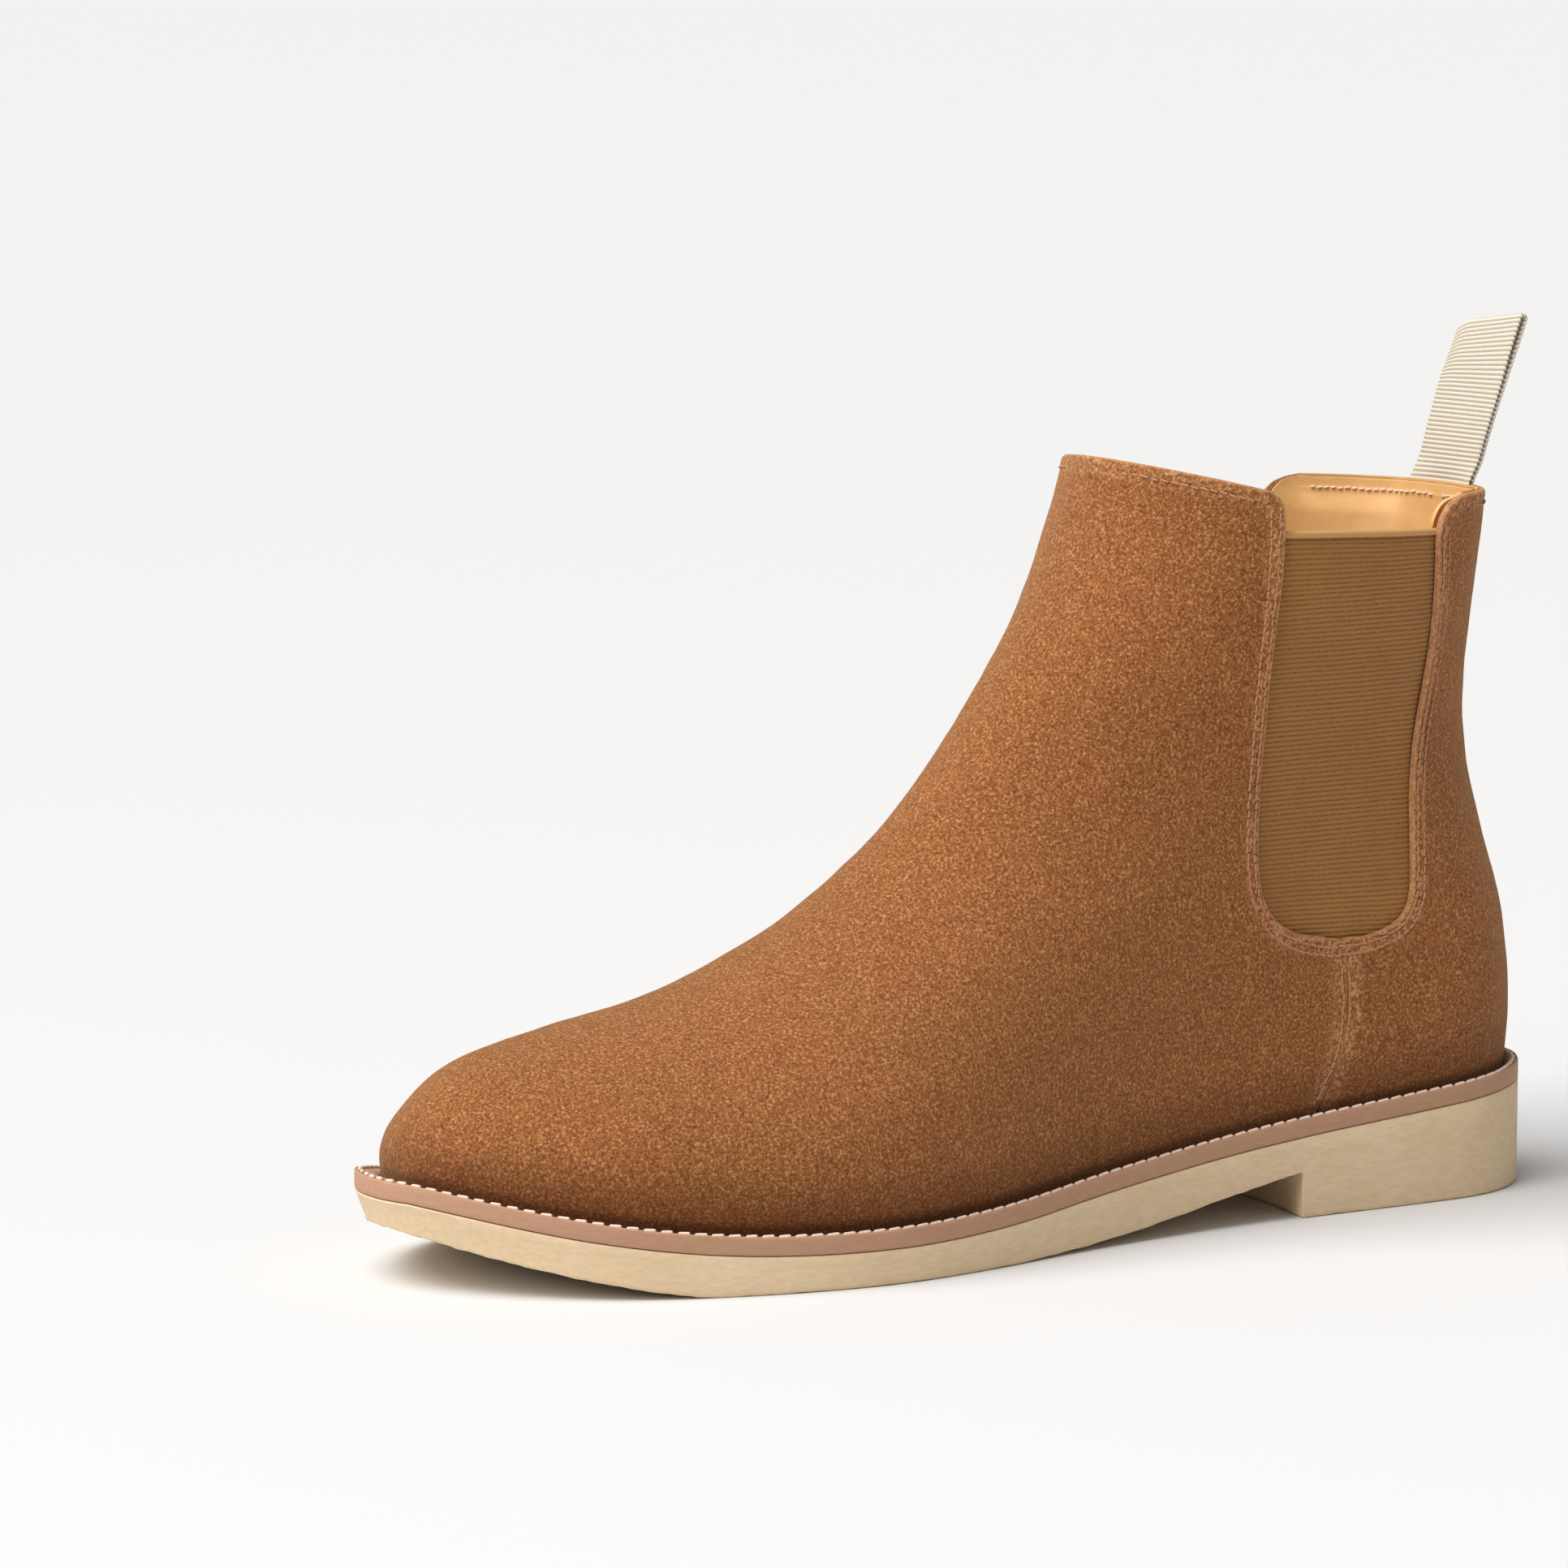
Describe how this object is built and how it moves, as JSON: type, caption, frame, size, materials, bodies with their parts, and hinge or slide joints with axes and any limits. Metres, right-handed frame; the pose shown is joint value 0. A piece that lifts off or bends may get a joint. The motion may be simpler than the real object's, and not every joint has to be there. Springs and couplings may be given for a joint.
{
  "type": "chelsea boot",
  "caption": "Ankle-high left chelsea boot: suede upper, elastic side gussets, stitched welt, moulded cream sole with heel, and a webbing pull tab.",
  "frame": {"origin": "on the floor, in the middle of the sole's length and width", "axes": "toe towards -Y, outer (lateral) side of the left foot towards +X, up +Z"},
  "size_m": [0.1043, 0.306, 0.2072],
  "materials": {
    "suede": "napped suede, matt",
    "elastic": "fine horizontal ribs, matt",
    "lining_leather": "smooth, satin",
    "sole_rubber": "moulded cream rubber, matt",
    "welt_leather": "cut edge, matt",
    "welt_thread": "waxed thread",
    "upper_thread": "thread",
    "webbing": "cross-ribbed grosgrain",
    "cork": "granulated",
    "shank_steel": "rolled",
    "insole_board": "pressed board",
    "heel_foam": "open foam",
    "stiffener": "matt"
  },
  "bodies": {
    "boot": {"outsole": "sole_rubber", "welt": "welt_leather", "welt_stitching": "welt_thread", "bottom_filler": "cork", "shank": "shank_steel", "insole_board": "insole_board", "heel_pad": "heel_foam", "sock_liner": "lining_leather", "toe_puff": "stiffener", "heel_counter": "stiffener", "vamp": "suede", "back_quarter": "suede", "outer_gusset": "elastic", "inner_gusset": "elastic", "vamp_lining": "lining_leather", "quarter_lining": "lining_leather", "pull_tab_ends": "webbing", "outer_gusset_stitching": "upper_thread", "inner_gusset_stitching": "upper_thread", "collar_stitching": "upper_thread", "side_seam_stitching": "upper_thread"},
    "pull_tab": {"pull_tab_loop": "webbing"}
  },
  "joints": [
    {"name": "pull_tab_fold", "type": "hinge", "parent": "boot", "child": "pull_tab", "pos_m": [-0.0015, 0.1374, 0.171], "axis": [-1, 0, 0], "range_deg": [-100, 80], "stiffness_Nm_per_rad": 0.01}
  ]
}
